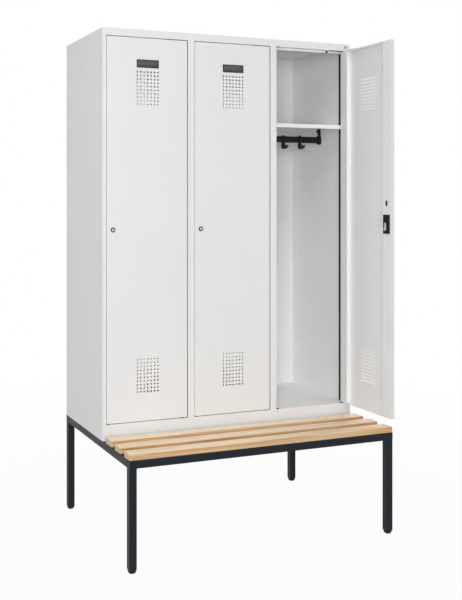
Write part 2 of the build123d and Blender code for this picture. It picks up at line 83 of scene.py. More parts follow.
# %% [markdown]
# The camera comes first, because it decides what will be seen. The upright edges stay parallel in
# the photograph, so the camera is level, and the picture is framed by shifting the lens instead
# of tilting it. Its place was solved from the straight edges of the body and the frame.

# %% The camera
camera_data = bpy.data.cameras.new("camera")
camera_data.lens = 54.495
camera_data.shift_x = 0.175
camera_data.shift_y = -0.16664
camera = bpy.data.objects.new("camera", camera_data)
camera.location = (-1.8379, -3.5928, 1.4201)
camera.rotation_euler = (radians(90), 0, radians(-20.885))
bpy.context.scene.collection.objects.link(camera)
bpy.context.scene.camera = camera
print("camera stands", round(camera.location.length, 2), "m from the origin")

# %% [markdown]
# ## Where a door's pieces go
#
# The three doors are the same, but the third stands open. A piece is made once on the first door,
# which is shut, and each copy goes through one matrix: from the first hinge to its own, turned as
# far as that door is open. The record's joints give both, so nothing is measured twice.

# %% From the first door to each door
joints = {joint["name"]: joint for joint in frame["record"]["behaviour"]["joints"]}
hinges = {number: Vector(joints[f"door_{number}_hinge"]["pos_m"]) for number in doors}
turns = {number: radians(-joints[f"door_{number}_hinge"]["range_deg"][0]) for number in doors}


def on_door(number):
    """The matrix that takes a piece from the first door to this one."""
    there = Matrix.Translation(hinges[number]) @ Matrix.Rotation(turns[number], 4, "Z")
    return there @ Matrix.Translation(-hinges[1])


print("doors stand open by", [round(degrees(turns[number])) for number in doors], "degrees")

# %% [markdown]
# ## A small kit for node materials
#
# Every finish below is built from the same few steps: a noise in object coordinates, so that it
# stays on the piece when the piece moves, a range that turns the noise into a small change of
# colour or roughness, and a bump for what the hand would feel. Naming these steps once keeps each
# material short enough to read.


# %% Helpers for materials
def new_material(name, metallic=0.0):
    """An empty material with its shader, ready for its sockets to be filled."""
    material = bpy.data.materials.new(name)
    material.use_nodes = True
    shader = material.node_tree.nodes["Principled BSDF"]
    shader.inputs["Metallic"].default_value = metallic
    return material, material.node_tree, shader


def add_node(tree, kind, **values):
    """A node with its input sockets set by name."""
    node = tree.nodes.new(kind)
    for socket, value in values.items():
        node.inputs[socket.replace("_", " ")].default_value = value
    return node


def stretched(tree, scale=(1, 1, 1), turn=(0, 0, 0), shift=(0, 0, 0)):
    """Object coordinates, stretched, turned and shifted for a pattern."""
    place = tree.nodes.new("ShaderNodeTexCoord")
    mapping = add_node(tree, "ShaderNodeMapping", Scale=scale, Rotation=turn, Location=shift)
    tree.links.new(place.outputs["Object"], mapping.inputs["Vector"])
    return mapping.outputs["Vector"]


def axes(tree, coordinates):
    """The sockets X, Y and Z of one kind of coordinates, such as Object or Normal."""
    place = tree.nodes.new("ShaderNodeTexCoord")
    parts = tree.nodes.new("ShaderNodeSeparateXYZ")
    tree.links.new(place.outputs[coordinates], parts.inputs[0])
    return parts.outputs


def calculated(tree, operation, first, second=None):
    """One number from a socket and, for some operations, a second socket or plain number."""
    node = tree.nodes.new("ShaderNodeMath")
    node.operation = operation
    tree.links.new(first, node.inputs[0])
    if isinstance(second, bpy.types.NodeSocket):
        tree.links.new(second, node.inputs[1])
    elif second is not None:
        node.inputs[1].default_value = second
    return node.outputs[0]


def noise(tree, vector, scale, detail=2.0, roughness=0.5, distortion=0.0):
    """A noise pattern as one number from 0 to 1."""
    node = add_node(
        tree,
        "ShaderNodeTexNoise",
        Scale=scale,
        Detail=detail,
        Roughness=roughness,
        Distortion=distortion,
    )
    tree.links.new(vector, node.inputs["Vector"])
    return node.outputs["Fac"]


def to_range(tree, value, low, high, from_low=0.3, from_high=0.7):
    """The value moved from one range to another, for a roughness or a factor."""
    node = add_node(
        tree, "ShaderNodeMapRange", From_Min=from_low, From_Max=from_high, To_Min=low, To_Max=high
    )
    tree.links.new(value, node.inputs["Value"])
    return node.outputs["Result"]


def colour_ramp(tree, value, stops):
    """Colours along a value, as (place, colour) pairs."""
    node = tree.nodes.new("ShaderNodeValToRGB")
    ramp = node.color_ramp
    while len(ramp.elements) < len(stops):
        ramp.elements.new(0.5)
    for element, (place, colour) in zip(ramp.elements, stops):
        element.position = place
        element.color = (*colour, 1.0)
    tree.links.new(value, node.inputs["Fac"])
    return node.outputs["Color"]


def blended(tree, factor, first, second, mode="MIX"):
    """Two colours mixed by a factor, which may be a number or another socket."""
    node = tree.nodes.new("ShaderNodeMix")
    node.data_type = "RGBA"
    node.blend_type = mode
    for socket, value in ((0, factor), (6, first), (7, second)):
        if isinstance(value, bpy.types.NodeSocket):
            tree.links.new(value, node.inputs[socket])
        elif socket == 0:
            node.inputs[socket].default_value = value
        else:
            node.inputs[socket].default_value = (*value, 1.0)
    return node.outputs[2]


def mixed_shaders(tree, factor, first, second):
    """Two shaders mixed by a factor from another socket."""
    node = tree.nodes.new("ShaderNodeMixShader")
    for socket, value in enumerate((factor, first, second)):
        tree.links.new(value, node.inputs[socket])
    return node.outputs[0]


def bumped(tree, shader, heights):
    """Bumps on the shader from (height, depth in metres) pairs, one on top of the other."""
    below = None
    for height, depth in heights:
        bump = add_node(tree, "ShaderNodeBump", Strength=1.0, Distance=depth)
        tree.links.new(height, bump.inputs["Height"])
        if below is not None:
            tree.links.new(below, bump.inputs["Normal"])
        below = bump.outputs["Normal"]
    tree.links.new(below, shader.inputs["Normal"])


print("material helpers ready")

# %% [markdown]
# ## Powder coat
#
# Sheet and tube are powder coated. The coat is thick enough to round the smallest edges and dries
# with a fine orange peel of about a millimetre, which breaks up the gloss without being seen as a
# pattern. Over a whole panel the sheen and the tone drift by a percent or two. The coat can take
# a mask, a box in object coordinates inside which it is painted almost black, as painted shade.


# %% The pale grey coat and the dark coats
def within(tree, low, high):
    """One inside a box in object coordinates, and zero outside it."""
    parts = axes(tree, "Object")
    mask = None
    for axis, start, end in zip("XYZ", low, high):
        for operation, edge in (("GREATER_THAN", start), ("LESS_THAN", end)):
            test = calculated(tree, operation, parts[axis], edge)
            mask = test if mask is None else calculated(tree, "MULTIPLY", mask, test)
    return mask


def powder_coat(name, colour, sheen_low, sheen_high, drift=0.02, specular=0.5, shade_box=None):
    """A powder coat: orange peel, a drifting sheen, a barely drifting tone, and a box of painted
    shade.
    """
    material, tree, shader = new_material(name)
    shader.inputs["Specular IOR Level"].default_value = specular
    whole = stretched(tree)
    cloud = noise(tree, whole, scale=2.3, detail=3)
    pale = tuple(min(1.0, channel * (1 + drift)) for channel in colour)
    deep = tuple(channel * (1 - drift) for channel in colour)
    speck = noise(tree, whole, scale=900.0, detail=1)
    tone = colour_ramp(tree, cloud, [(0.35, deep), (0.65, pale)])
    fleck = colour_ramp(tree, speck, [(0.30, (0.94, 0.94, 0.94)), (0.42, (1, 1, 1))])
    coat = blended(tree, 1.0, tone, fleck, "MULTIPLY")
    # Inside the box the coat is painted almost black, as painted shade.
    if shade_box is not None:
        coat = blended(tree, within(tree, *shade_box), coat, painted_shade_black)
    tree.links.new(coat, shader.inputs["Base Color"])
    patch = noise(tree, whole, scale=14.0, detail=4)
    tree.links.new(to_range(tree, patch, sheen_low, sheen_high), shader.inputs["Roughness"])
    peel = noise(tree, whole, scale=620.0, detail=2)
    bumped(tree, shader, [(cloud, 0.4 * mm), (peel, 0.04 * mm)])
    return material


def pale_coat(name, shade_box=None):
    """The pale grey coat, with painted shade, almost black, in the box that a closed fold hides."""
    return powder_coat(name, pale_grey, 0.42, 0.50, drift=0.008, shade_box=shade_box)


# The second colour is painted shade for the inside of closed folds.
pale_grey, painted_shade_black = (0.900, 0.901, 0.903), (0.012, 0.012, 0.013)
grey_coat = pale_coat("grey_coat")
dark_coat = powder_coat("dark_coat", (0.014, 0.018, 0.023), 0.40, 0.50, specular=0.15)
black_coat = powder_coat("black_coat", (0.010, 0.011, 0.012), 0.40, 0.50, specular=0.25)
print("coats:", grey_coat.name, dark_coat.name, black_coat.name)

# %% [markdown]
# The header, the sill and the lock side of each door are folded into boxes that hardly any light
# gets into, so what shows through a gap or an air hole there is dark. Each of these folds gets the
# pale coat with its own mask, inside which that shade is painted almost black. The mask starts
# halfway into the sheet, which leaves the outer skin pale, and in the header it starts above the
# stop flanges that hang down from the box.

# %% Coats that are dark inside a fold
skin, stop_flange = 0.5 * mm, 10 * mm
low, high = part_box("front_header")
head_low = (low[0], low[1] + skin, low[2] + stop_flange + skin)
head_coat_painted_shade = pale_coat("head_coat_painted_shade", (head_low, (high[0], high[1] - skin, high[2] - skin)))
low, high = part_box("front_sill")
sill_low = (low[0], low[1] + skin, low[2] + skin)
sill_coat_painted_shade = pale_coat("sill_coat_painted_shade", (sill_low, (high[0], high[1] - skin, high[2] - skin)))
low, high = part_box("door_panel_1")
door_edge, lock_box_width = 1.2 * mm, 54.5 * mm
box_low = Vector((low[0] + door_edge, low[1] + skin, low[2] + door_edge))
box_high = Vector((low[0] + lock_box_width, high[1] - skin, high[2] - door_edge))
door_coats_painted_shade = {}
for number in doors:
    ends = [on_door(number) @ corner for corner in (box_low, box_high)]
    least = [min(axis) for axis in zip(*ends)]
    most = [max(axis) for axis in zip(*ends)]
    door_coats_painted_shade[number] = pale_coat(f"door_coat_{number}", (least, most))
painted_shade_coats = (head_coat_painted_shade, sill_coat_painted_shade, *door_coats_painted_shade.values())
print("coats with a dark inside:", [coat.name for coat in painted_shade_coats])

# %% [markdown]
# ## Beech
#
# The slats are solid beech under clear lacquer. Seen from near, beech has three scales: year
# rings that run along the slat as soft stripes, a finer streak between them, and the short brown
# flecks that tell beech from other pale woods. The side faces, which look neither up nor down, are
# painted darker and browner than the top as painted shade, the sawn ends are browner still, and
# towards one end of each slat the board comes from nearer the root, where the stripes are darker.
# Each slat is cut from another place in the log, so the pattern is shifted from slat to slat.

# %% Colours of the wood
ring_colours = [
    (0.34, (0.75, 0.50, 0.27)),
    (0.44, (0.92, 0.69, 0.44)),
    (0.54, (0.98, 0.81, 0.57)),
    (0.66, (1.0, 0.88, 0.67)),
]
vein_colours = [(0.34, (0.72, 0.56, 0.40)), (0.49, (1, 1, 1))]
end_colours = [(0.35, (0.42, 0.25, 0.11)), (0.60, (0.68, 0.46, 0.24))]
# The first tint is painted shade for the side faces. The other two are colours of the wood.
side_shade_tint, root_tint, fleck_brown = (0.78, 0.64, 0.49), (1.0, 0.84, 0.64), (0.34, 0.18, 0.08)
print("year rings run through", len(ring_colours), "colours")


# %% Beech, one material for each slat
def face_mask(tree, axis):
    """One on the faces that look along an axis, and zero on the others."""
    either = calculated(tree, "ABSOLUTE", axes(tree, "Normal")[axis])
    return to_range(tree, either, 0.0, 1.0, from_low=0.55, from_high=0.85)


def beech_wood(name, shift):
    """Beech with its grain along X, cut at its own place in the log."""
    material, tree, shader = new_material(name)
    log = stretched(tree, (0.9, 42, 42), turn=(0, 0, radians(0.6)), shift=shift)
    rings = noise(tree, log, 1.0, detail=4, roughness=0.60, distortion=1.1)
    between = stretched(tree, (2.6, 150, 150), shift=shift)
    streaks = noise(tree, between, 1.0, detail=3, roughness=0.6)
    wash = colour_ramp(tree, rings, ring_colours)
    veins = colour_ramp(tree, streaks, vein_colours)
    grain = blended(tree, 0.85, wash, veins, "MULTIPLY")
    # Painted shade: the side faces are darkened and browned, and the top and bottom keep the grain.
    edges = blended(tree, 1.0, grain, side_shade_tint, "MULTIPLY")
    faces = blended(tree, face_mask(tree, "Z"), edges, grain)
    along = to_range(tree, axes(tree, "Object")["X"], 0.0, 1.0, from_low=0.36, from_high=0.56)
    stripes = to_range(tree, rings, 1.0, 0.35, from_low=0.42, from_high=0.60)
    near_root = calculated(tree, "MULTIPLY", along, stripes)
    darker = blended(tree, 1.0, faces, root_tint, "MULTIPLY")
    board = blended(tree, near_root, faces, darker)
    flecks = noise(tree, stretched(tree, (120, 1100, 1100), shift=shift), 1.0, detail=0)
    fleck_mask = to_range(tree, flecks, 0.55, 0.0, from_low=0.20, from_high=0.33)
    flecked = blended(tree, fleck_mask, board, fleck_brown)
    pores = noise(tree, stretched(tree, shift=shift), 900.0, detail=2)
    end_grain = colour_ramp(tree, pores, end_colours)
    wood = blended(tree, face_mask(tree, "X"), flecked, end_grain)
    tree.links.new(wood, shader.inputs["Base Color"])
    tree.links.new(to_range(tree, streaks, 0.36, 0.48), shader.inputs["Roughness"])
    shader.inputs["Coat Weight"].default_value = 0.7
    shader.inputs["Coat Roughness"].default_value = 0.30
    bumped(tree, shader, [(rings, 0.3 * mm), (streaks, 0.08 * mm)])
    return material


slats, step_in_log = (1, 2, 3), (0.37, 0.61, 0.13)
for number in slats:
    slat = nodes[f"bench_slat_{number}"]
    cut_at = [step * number for step in step_in_log]
    slat.material_slots[0].material = beech_wood(f"beech_{number}", cut_at)
print("slats in beech:", [nodes[f"bench_slat_{n}"].material_slots[0].material.name for n in slats])

# %% [markdown]
# ## Plastic, rubber and steel
#
# The small parts are moulded plastic with a fine spark-eroded grain, rubber with no shine, and
# zinc-plated steel whose plating is faintly brushed along the length of the part.


# %% Moulded plastic, rubber and zinc-plated steel
def moulded_plastic(name, colour, dull, bright, grain=0.03 * mm, specular=0.3):
    """Moulded plastic: a fine eroded grain and a sheen that varies with wear."""
    material, tree, shader = new_material(name)
    shader.inputs["Specular IOR Level"].default_value = specular
    whole = stretched(tree)
    handled = noise(tree, whole, scale=35.0, detail=4)
    lift = tuple(channel * 1.35 for channel in colour)
    worn = colour_ramp(tree, handled, [(0.35, colour), (0.70, lift)])
    tree.links.new(worn, shader.inputs["Base Color"])
    tree.links.new(to_range(tree, handled, bright, dull), shader.inputs["Roughness"])
    bumped(tree, shader, [(noise(tree, whole, scale=2400.0, detail=1), grain)])
    return material


def plated_steel(name, colour, along):
    """Zinc-plated steel, brushed along one direction."""
    material, tree, shader = new_material(name, metallic=1.0)
    brushed = noise(tree, stretched(tree, along), 1.0, detail=2)
    cloud = noise(tree, stretched(tree), scale=60.0, detail=3)
    dark = tuple(channel * 0.82 for channel in colour)
    plating = colour_ramp(tree, cloud, [(0.35, dark), (0.65, colour)])
    tree.links.new(plating, shader.inputs["Base Color"])
    tree.links.new(to_range(tree, brushed, 0.30, 0.48), shader.inputs["Roughness"])
    bumped(tree, shader, [(brushed, 0.02 * mm)])
    return material


black_plastic = moulded_plastic("black_plastic", (0.014, 0.014, 0.015), 0.55, 0.40)
foot_plastic = moulded_plastic("foot_moulding", (0.012, 0.014, 0.016), 0.60, 0.48, specular=0.2)
buffer_rubber = moulded_plastic("buffer_rubber", (0.012, 0.012, 0.012), 0.85, 0.70, 0.06 * mm)
lock_plastic = moulded_plastic("lock_plastic", (0.012, 0.012, 0.013), 0.60, 0.45, specular=0.12)
# The keyhole finish is painted shade for the dark inside of the deep slot.
keyhole_painted_shade = moulded_plastic("keyhole_painted_shade", (0.008, 0.008, 0.008), 0.85, 0.70, specular=0.05)
lock_steel = plated_steel("lock_steel", (0.82, 0.82, 0.83), (900, 90, 90))
bolt_steel = plated_steel("bolt_steel", (0.55, 0.56, 0.58), (90, 90, 900))
small_finishes = (black_plastic, foot_plastic, buffer_rubber, lock_plastic, lock_steel, bolt_steel)
print("small finishes:", [finish.name for finish in small_finishes])

# %% [markdown]
# Each CAD node keeps its mesh and gets one of these finishes on its slot. The table goes by the
# start of the node's name, so that the legs or the nine hooks are one line. Each door has a coat
# of its own, because its painted shade inside lies in another place, and the top panel shares the
# header's coat and its painted shade, because its front part is the lid of that box.

# %% Finishes for the CAD nodes
finishes = {
    "front_rail": dark_coat,
    "side_rail": dark_coat,
    "rear_rail": dark_coat,
    "middle_rail": dark_coat,
    "leg": dark_coat,
    "feet": foot_plastic,
    "slat_screws": bolt_steel,
    "frame_bolts": bolt_steel,
    "side_panel": grey_coat,
    "partition": grey_coat,
    "hinge_channels": black_coat,
    "front_header": head_coat_painted_shade,
    "front_sill": sill_coat_painted_shade,
    "floor_panel": grey_coat,
    "top_panel": head_coat_painted_shade,
    "back_panel": grey_coat,
    "pivot_blocks": black_plastic,
    "hinge_pins": bolt_steel,
    "door_buffers": buffer_rubber,
    "hat_shelf": grey_coat,
    "clothes_rail": black_coat,
    "rail_brackets": black_plastic,
    "coat_hook": black_plastic,
    "label_holder": black_plastic,
    "lock_case": lock_plastic,
    "lock_rotor": lock_steel,
}
for number in doors:
    finishes[f"door_panel_{number}"] = door_coats_painted_shade[number]
    finishes[f"door_stiffener_{number}"] = door_coats_painted_shade[number]
dressed = 0
for name, node in nodes.items():
    for start, finish in finishes.items():
        if name.startswith(start):
            node.material_slots[0].material = finish
            dressed += 1
print(dressed, "of", len(nodes), "nodes took a finish, and the slats had theirs already")

# %% [markdown]
# ## Making pieces by hand
#
# The pieces below start as a circle, a plane or a disc and are shaped in edit mode, as one would
# with a mouse. In a script the mouse's part, picking the right edge or face, is done by a test on
# where it lies or where it faces. Everything is deselected first, because an operator acts on all
# that is selected.


# %% Helpers that start a piece
def start_fresh():
    """Leave edit mode and select nothing."""
    if bpy.context.object is not None and bpy.context.object.mode == "EDIT":
        bpy.ops.object.mode_set(mode="OBJECT")
    bpy.ops.object.select_all(action="DESELECT")


def start_plane(size, place, rotation=(0, 0, 0)):
    """A new square plane, in edit mode."""
    start_fresh()
    bpy.ops.mesh.primitive_plane_add(size=size, location=place, rotation=rotation)
    bpy.ops.object.mode_set(mode="EDIT")


def start_disc(corners, radius, place):
    """A new disc that faces the front, in edit mode. The radius is in millimetres."""
    start_fresh()
    bpy.ops.mesh.primitive_circle_add(
        vertices=corners,
        radius=radius * mm,
        fill_type="NGON",
        location=place,
        rotation=(pi / 2, 0, 0),
    )
    bpy.ops.object.mode_set(mode="EDIT")


def start_circles(corners, radii, place, rotation=(0, 0, 0)):
    """Circles round one middle in a new piece, in edit mode. The radii are in millimetres."""
    start_fresh()
    for index, radius in enumerate(radii):
        bpy.ops.mesh.primitive_circle_add(
            vertices=corners, radius=radius * mm, location=place, rotation=rotation
        )
        if index == 0:
            bpy.ops.object.mode_set(mode="EDIT")


print("pieces start as a plane, a disc or circles")


# %% Helpers that shape and finish it
def pick(kind, test):
    """Select what passes a test: of points and faces their place and normal, of edges both ends."""
    piece = bpy.context.object
    bpy.ops.mesh.select_mode(type=kind)
    bpy.ops.mesh.select_all(action="DESELECT")
    net = bmesh.from_edit_mesh(piece.data)
    net.normal_update()
    place, turn = piece.matrix_world, piece.matrix_world.to_3x3()
    if kind == "FACE":
        middles = [(face, face.calc_center_median()) for face in net.faces]
        found = [face for face, middle in middles if test(place @ middle, turn @ face.normal)]
    elif kind == "EDGE":
        found = [edge for edge in net.edges if test(*(place @ end.co for end in edge.verts))]
    else:
        found = [point for point in net.verts if test(place @ point.co, turn @ point.normal)]
    for part in found:
        part.select_set(True)
    bmesh.update_edit_mesh(piece.data)
    return len(found)


def pull(x, y, z):
    """Extrude what is selected along a line given in millimetres."""
    bpy.ops.mesh.extrude_region_move(TRANSFORM_OT_translate={"value": (x * mm, y * mm, z * mm)})


def finish_piece(name, finish, slot_name, rounding=0.0, steps=3):
    """Close and round the piece, put its place into its mesh, and dress it."""
    piece = bpy.context.object
    bpy.ops.mesh.select_all(action="SELECT")
    bpy.ops.mesh.remove_doubles(threshold=0.01 * mm)
    bpy.ops.mesh.normals_make_consistent(inside=False)
    bpy.ops.object.mode_set(mode="OBJECT")
    bpy.ops.object.transform_apply(location=True, rotation=True, scale=True)
    if rounding > 0:
        bevel = piece.modifiers.new("rounding", "BEVEL")
        bevel.width = rounding
        bevel.segments = steps
        bevel.limit_method = "ANGLE"
        bevel.angle_limit = radians(35)
        bpy.ops.object.modifier_apply(modifier=bevel.name)
    bpy.ops.object.shade_smooth_by_angle(angle=radians(40))
    piece.name = name
    piece.data.name = name
    piece.data.materials.clear()
    piece.data.materials.append(finish)
    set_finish(piece, slot_name)
    return piece


def copy_of(piece, name, matrix, body):
    """A copy with its own mesh, placed by a matrix that goes into the mesh, riding on a body."""
    copy = piece.copy()
    copy.data = piece.data.copy()
    copy.name = copy.data.name = name
    bpy.context.scene.collection.objects.link(copy)
    copy.data.transform(matrix)
    copy.data.update()
    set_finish(copy, piece["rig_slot"])
    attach(copy, body)
    return copy


def one_skin(piece, other):
    """Unite two closed pieces into one skin, and drop the second."""
    start_fresh()
    join = piece.modifiers.new("one_skin", "BOOLEAN")
    join.operation = "UNION"
    join.solver = "EXACT"
    join.object = other
    bpy.context.view_layer.objects.active = piece
    bpy.ops.object.modifier_apply(modifier=join.name)
    bpy.data.objects.remove(other)
    return piece


# Two places less than a hair apart count as one when parts are picked.
hair = 0.1 * mm
print("parts are picked to", hair / mm, "mm")

# %% [markdown]
# ## Coat hooks
#
# Each hook is one moulding: a thin strap that runs round the rail, and under it a wide stem that
# curls into a bowl and ends in a tip leaning out to the front. The strap is two circles pulled
# apart into ovals, bridged and given their width. The stem is one face that is pulled down, spun
# round the bowl and pulled out along the tip, which is how a sweep is made by hand. A bevel then
# gives every edge the soft radius of a moulding.

# %% The strap round the rail
low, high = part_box("clothes_rail_1")
rail_y, rail_z = (low.y + high.y) / 2, (low.z + high.z) / 2
low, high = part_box("coat_hook_1")
hook_x = (low.x + high.x) / 2
strap_width, strap_outside, strap_inside, half_straight = 8, 12.3, 8.0, 7.5
on_rail = (hook_x - strap_width / 2 * mm, rail_y, rail_z)
start_circles(48, (strap_outside, strap_inside), on_rail, rotation=(0, pi / 2, 0))
for way in (-1, 1):
    pick("VERT", lambda place, normal: way * (place.z - rail_z) > hair)
    bpy.ops.transform.translate(value=(0, 0, way * half_straight * mm))
bpy.ops.mesh.select_all(action="SELECT")
bpy.ops.mesh.bridge_edge_loops()
bpy.ops.mesh.select_all(action="SELECT")
pull(strap_width, 0, 0)
strap = finish_piece("hook_strap", black_plastic, "dark_plastic", rounding=0.8 * mm)
print("strap has", len(strap.data.polygons), "faces")

# %% The stem, the bowl and the tip
stem_width, stem_thickness, stem_length, stem_below_rail = 20, 6.8, 15, 17.65
stem_place = (hook_x, rail_y, rail_z - stem_below_rail * mm)
bowl_radius, bowl_turn = 10, radians(120)
bowl_middle = (hook_x, rail_y - bowl_radius * mm, stem_place[2] - stem_length * mm)
out_y, out_z = -sin(bowl_turn), -cos(bowl_turn)
tip_lengths, tip_rounding = (14, 8), 6
start_plane(stem_width * mm, stem_place)
flatter = (1, stem_thickness / stem_width, 1)
bpy.ops.transform.resize(value=flatter, center_override=stem_place)
pull(0, 0, -stem_length)
bpy.ops.mesh.spin(steps=12, angle=bowl_turn, center=bowl_middle, axis=(1, 0, 0))
for length in tip_lengths:
    pull(0, length * out_y, length * out_z)
end_y = bowl_radius * cos(bowl_turn) + sum(tip_lengths) * out_y
end_z = -bowl_radius * sin(bowl_turn) + sum(tip_lengths) * out_z
end = Vector(bowl_middle) + Vector((0, end_y * mm, end_z * mm))
near_end = Vector((stem_width, stem_thickness)).length / 2 * mm + hair
corners = pick(
    "EDGE",
    lambda a, b: max((a - end).length, (b - end).length) < near_end and abs(a.x - b.x) < hair,
)
bpy.ops.mesh.bevel(offset=tip_rounding * mm, segments=5, affect="EDGES")
print("rounded", corners, "corners of the tip")
stem = finish_piece("hook_stem", black_plastic, "dark_plastic", rounding=1.6 * mm)
print("stem has", len(stem.data.polygons), "faces")

# %% [markdown]
# The strap and the stem become one closed skin with a union, and the hook is copied to all nine
# places, which the hooks of the frame give. Each copy slides with its own hook.

# %% One skin, nine hooks
first_hook = one_skin(stem, strap)
for number in range(1, 10):
    low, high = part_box(f"coat_hook_{number}")
    shift = Matrix.Translation(((low.x + high.x) / 2 - hook_x, 0, 0))
    hook = copy_of(first_hook, f"moulded_hook_{number}", shift, f"hook_{number}")
    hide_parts(f"coat_hook_{number}")
bpy.data.objects.remove(first_hook)
print("hooks made:", number)

# %% [markdown]
# ## Label cards
#
# A plain grey card lies in each label holder. It is a single sheet with rounded corners, a little
# bowed because it is held at its ends, so it starts as a plane, is cut across, lifted at the
# middle and given its thickness by a Solidify modifier.

# %% The card's paper
card_paper = moulded_plastic("card_paper", (0.088, 0.090, 0.092), 0.75, 0.60, grain=0.04 * mm)
print("card in", card_paper.name)

# %% A card for each door
low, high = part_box("label_holder_1")
card_width, card_height, card_thickness = 91 * mm, 25.6 * mm, 0.4 * mm
corner_radius, behind_rim, bow = 1.5 * mm, 0.75 * mm, 0.25 * mm
card_middle = Vector(((low.x + high.x) / 2, low.y + behind_rim, (low.z + high.z) / 2))
cut_step, steps_to_end = 9 * mm, 5
cuts = range(1 - steps_to_end, steps_to_end)
start_plane(card_width, card_middle, rotation=(pi / 2, 0, 0))
bpy.ops.transform.resize(value=(1, 1, card_height / card_width), center_override=card_middle)
pick("VERT", lambda place, normal: True)
bpy.ops.mesh.bevel(offset=corner_radius, segments=4, affect="VERTICES")
for cut in cuts:
    bpy.ops.mesh.select_all(action="SELECT")
    place = card_middle + Vector((cut * cut_step, 0, 0))
    bpy.ops.mesh.bisect(plane_co=place, plane_no=(1, 0, 0))
for cut in cuts:
    line = card_middle.x + cut * cut_step
    pick("VERT", lambda place, normal: abs(place.x - line) < hair)
    bpy.ops.transform.translate(value=(0, -bow * (1 - (cut / steps_to_end) ** 2), 0))
card = finish_piece("label_card", card_paper, "dark_plastic")
thickness = card.modifiers.new("thickness", "SOLIDIFY")
thickness.thickness = card_thickness
thickness.offset = 0
bpy.ops.object.modifier_apply(modifier=thickness.name)
for number in doors:
    copy_of(card, f"label_card_{number}", on_door(number), f"door_{number}")
bpy.data.objects.remove(card)
print("cards", round(card_width / mm), "mm wide")

# %% [markdown]
# ## Hinge straps
#
# On top of each door lies the strap that the hinge pin goes through: a flat bar with a round eye.
# The eye is a circle inside a circle, bridged, and the bar is pulled out of the edges that face
# the lock side, so that its far end keeps their round shape. One extrusion gives the thickness.

# %% A strap for each door
pin = hinges[1]
low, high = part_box("door_panel_1")
eye_outside, eye_inside, bar_length, bar_thickness, above_door = 6.8, 4.5, 86, 2.4, 0.2
eye = Vector((pin.x, pin.y, high.z + above_door * mm))
bar_start = pin.x - eye_outside / 2 * mm + hair
start_circles(36, (eye_outside, eye_inside), eye)
bpy.ops.mesh.select_all(action="SELECT")
bpy.ops.mesh.bridge_edge_loops()
edges = pick(
    "EDGE",
    lambda a, b: max(a.x, b.x) < bar_start
    and ((a + b) / 2 - eye).length > eye_outside * mm - hair,
)
pull(-bar_length, 0, 0)
bpy.ops.mesh.select_all(action="SELECT")
pull(0, 0, bar_thickness)
strap = finish_piece("hinge_strap", black_coat, "dark_paint", rounding=0.3 * mm, steps=2)
for number in doors:
    copy_of(strap, f"hinge_strap_{number}", on_door(number), f"door_{number}")
bpy.data.objects.remove(strap)
print("straps pulled from", edges, "edges of the eye")

# %% [markdown]
# ## Lock cylinders
#
# What turns in each lock is a round plug with a keyhole, a cam on its inner end and the nut that
# clamps the cam. As a mesh they get what a solid leaves out: the soft rim round the keyhole, a
# six-sided nut with worn corners, and the round end of the plug standing out of the nut.

# %% The plug and its keyhole
plug_radius, plug_rim, plug_sunk = 5.95, 0.8, 0.3
key_side, key_end, key_depth = 1.2, 4, 4
stub_length, stub_share = 2.6, 0.7
lock_place = Vector(joints["lock_1_turn"]["pos_m"])
low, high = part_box("lock_rotor_1")
face = Vector((lock_place.x, low.y, lock_place.z))
cam_place = (face.x, high.y - stub_length * mm, face.z)
start_disc(40, plug_radius, face)
bpy.ops.mesh.inset(thickness=plug_rim * mm)
bpy.ops.transform.translate(value=(0, plug_sunk * mm, 0))
for x, z in ((-key_side, 0), (key_side, 0), (0, -key_end), (0, key_end)):
    pick("FACE", lambda place, normal: place.y > face.y + plug_sunk * mm - hair)
    bpy.ops.mesh.bisect(plane_co=face + Vector((x * mm, 0, z * mm)), plane_no=(x, 0, z))
keyhole = pick("FACE", lambda place, normal: (place - face).length < key_side * mm)
pull(0, key_depth, 0)
rim = pick("EDGE", lambda a, b: max(a.y, b.y) < face.y + hair)
pull(0, (cam_place[1] - face.y) / mm, 0)
pull(0, 0, 0)
bpy.ops.transform.resize(value=(stub_share, 1, stub_share), center_override=cam_place)
pull(0, stub_length, 0)
bpy.ops.mesh.edge_face_add()
plug = finish_piece("lock_plug", lock_steel, "bare_steel", rounding=0.2 * mm, steps=2)
print("keyhole faces", keyhole, "and rim edges", rim)

# %% The cam and the nut
cam_radius, cam_reach, cam_thickness = 6.4, 21.4, 2.3
nut_radius, nut_thickness = 7.9, 2.0
start_disc(32, cam_radius, cam_place)
pick("VERT", lambda place, normal: place.z > face.z + hair)
bpy.ops.transform.translate(value=(0, 0, cam_reach * mm))
bpy.ops.mesh.select_all(action="SELECT")
pull(0, -cam_thickness, 0)
cam = finish_piece("lock_cam", lock_steel, "bare_steel", rounding=0.4 * mm)
start_disc(6, nut_radius, cam_place)
pull(0, nut_thickness, 0)
nut = finish_piece("lock_nut", lock_steel, "bare_steel", rounding=0.5 * mm)
print("cam reaches", round(cam_radius + cam_reach, 1), "mm up from the middle of the lock")

# %% Three lock cylinders
rotor = one_skin(one_skin(plug, cam), nut)
# The faces inside the keyhole take the near-black keyhole finish, which is painted shade for the
# deep slot.
rotor.data.materials.append(keyhole_painted_shade)
margin, inside = 0.05, 0
mouth, bottom = plug_sunk + margin, plug_sunk + key_depth + margin
for part in rotor.data.polygons:
    x, y, z = (part.center - face) / mm
    if abs(x) < key_side + margin and abs(z) < key_end + margin and mouth < y < bottom:
        part.material_index = 1
        inside += 1
for number in doors:
    turned = copy_of(rotor, f"lock_cylinder_{number}", on_door(number), f"lock_{number}")
    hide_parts(f"lock_rotor_{number}")
bpy.data.objects.remove(rotor)
print("lock cylinders:", len(doors), "with", inside, "dark faces in the keyhole")

